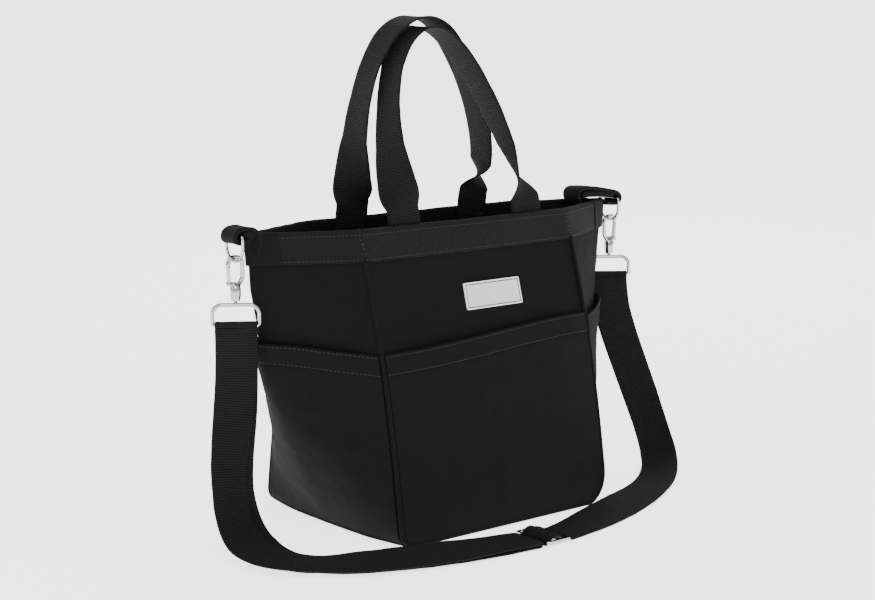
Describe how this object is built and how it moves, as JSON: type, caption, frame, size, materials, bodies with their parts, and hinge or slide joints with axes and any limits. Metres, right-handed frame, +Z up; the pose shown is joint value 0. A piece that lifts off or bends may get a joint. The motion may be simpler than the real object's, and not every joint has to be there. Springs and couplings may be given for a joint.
{
  "type": "garden tool bag",
  "caption": "Open-topped fabric bag with outer pockets, two webbing handles and a clip-on adjustable shoulder strap, for carrying hand tools.",
  "frame": {"origin": "middle of the base, on the surface that the bag stands on", "axes": "+X to the bag's right end, -Y out of its front face, +Z up"},
  "size_m": [0.5882, 0.3163, 0.5036],
  "materials": {
    "shell_fabric": "matt black woven polyester, fine twill",
    "webbing": "black ribbed polypropylene webbing",
    "piping": "black fabric-covered seam piping",
    "lining": "thin black lining cloth",
    "board": "stiff black plastic board",
    "nickel": "polished nickel plate",
    "plate": "satin light grey, with a brighter raised edge"
  },
  "bodies": {
    "bag": {"back_handle_left_end": "webbing", "back_handle_right_end": "webbing", "back_panel": "shell_fabric", "back_piping": "piping", "back_pocket": "shell_fabric", "back_rim_band": "webbing", "base_board": "board", "base_panel": "shell_fabric", "front_handle_left_end": "webbing", "front_handle_right_end": "webbing", "front_panel": "shell_fabric", "front_piping": "piping", "front_pocket": "shell_fabric", "front_rim_band": "webbing", "label_plate": "plate", "left_base_piping": "piping", "left_gusset": "shell_fabric", "left_pocket": "shell_fabric", "left_ring_tab": "shell_fabric", "left_tip_cover": "shell_fabric", "lining": "lining", "right_base_piping": "piping", "right_gusset": "shell_fabric", "right_pocket": "shell_fabric", "right_ring_tab": "shell_fabric", "right_tip_cover": "shell_fabric", "strap_left_back": "webbing", "strap_left_front": "webbing", "strap_right": "webbing", "strap_right_end": "webbing"},
    "front_handle": {"front_handle": "webbing"},
    "back_handle": {"back_handle": "webbing"},
    "slider": {"slider": "nickel", "slider_webbing": "webbing"},
    "left_ring": {"left_ring": "nickel"},
    "left_loop": {"left_loop": "nickel", "left_swivel": "nickel", "strap_left_fold": "webbing"},
    "left_hook": {"left_hook": "nickel"},
    "left_gate": {"left_gate": "nickel"},
    "right_ring": {"right_ring": "nickel"},
    "right_loop": {"right_loop": "nickel", "right_swivel": "nickel", "strap_right_fold": "webbing"},
    "right_hook": {"right_hook": "nickel"},
    "right_gate": {"right_gate": "nickel"}
  },
  "joints": [
    {"name": "front_handle_fold", "type": "hinge", "parent": "bag", "child": "front_handle", "pos_m": [0, -0.0406, 0.304], "axis": [1, 0, 0], "range_deg": [0, 90]},
    {"name": "back_handle_fold", "type": "hinge", "parent": "bag", "child": "back_handle", "pos_m": [0, 0.0406, 0.304], "axis": [-1, 0, 0], "range_deg": [0, 90]},
    {"name": "slider_slide", "type": "slide", "parent": "bag", "child": "slider", "axis": [1, 0, 0], "range_m": [-0.02, 0.02], "deforming": ["strap_left_front", "strap_left_back", "strap_right"]},
    {"name": "left_strap_swing", "type": "hinge", "parent": "bag", "child": "left_loop", "pos_m": [-0.247, 0, 0.302], "axis": [0, 1, 0], "range_deg": [-3, 40], "deforming": ["strap_left_front", "strap_left_back"]},
    {"name": "left_ring_swing", "type": "hinge", "parent": "bag", "child": "left_ring", "pos_m": [-0.247, 0, 0.302], "axis": [0, 1, 0], "range_deg": [-3, 40]},
    {"name": "left_hook_swivel", "type": "hinge", "parent": "left_loop", "child": "left_hook", "pos_m": [-0.247, 0, 0.24], "axis": [0, 0, 1], "range_deg": [-20, 20]},
    {"name": "left_gate_open", "type": "hinge", "parent": "left_hook", "child": "left_gate", "pos_m": [-0.2534, 0, 0.2565], "axis": [0, 1, 0], "range_deg": [0, 25], "stiffness_Nm_per_rad": 0.02},
    {"name": "right_strap_swing", "type": "hinge", "parent": "bag", "child": "right_loop", "pos_m": [0.247, 0, 0.302], "axis": [0, -1, 0], "range_deg": [-3, 40], "deforming": ["strap_right", "strap_right_end"]},
    {"name": "right_ring_swing", "type": "hinge", "parent": "bag", "child": "right_ring", "pos_m": [0.247, 0, 0.302], "axis": [0, -1, 0], "range_deg": [-3, 40]},
    {"name": "right_hook_swivel", "type": "hinge", "parent": "right_loop", "child": "right_hook", "pos_m": [0.247, 0, 0.24], "axis": [0, 0, 1], "range_deg": [-20, 20]},
    {"name": "right_gate_open", "type": "hinge", "parent": "right_hook", "child": "right_gate", "pos_m": [0.2534, 0, 0.2565], "axis": [0, -1, 0], "range_deg": [0, 25], "stiffness_Nm_per_rad": 0.02}
  ],
  "couplings": [
    {"joint": "left_ring_swing", "follows": "left_strap_swing", "ratio": 1},
    {"joint": "right_ring_swing", "follows": "right_strap_swing", "ratio": 1}
  ]
}
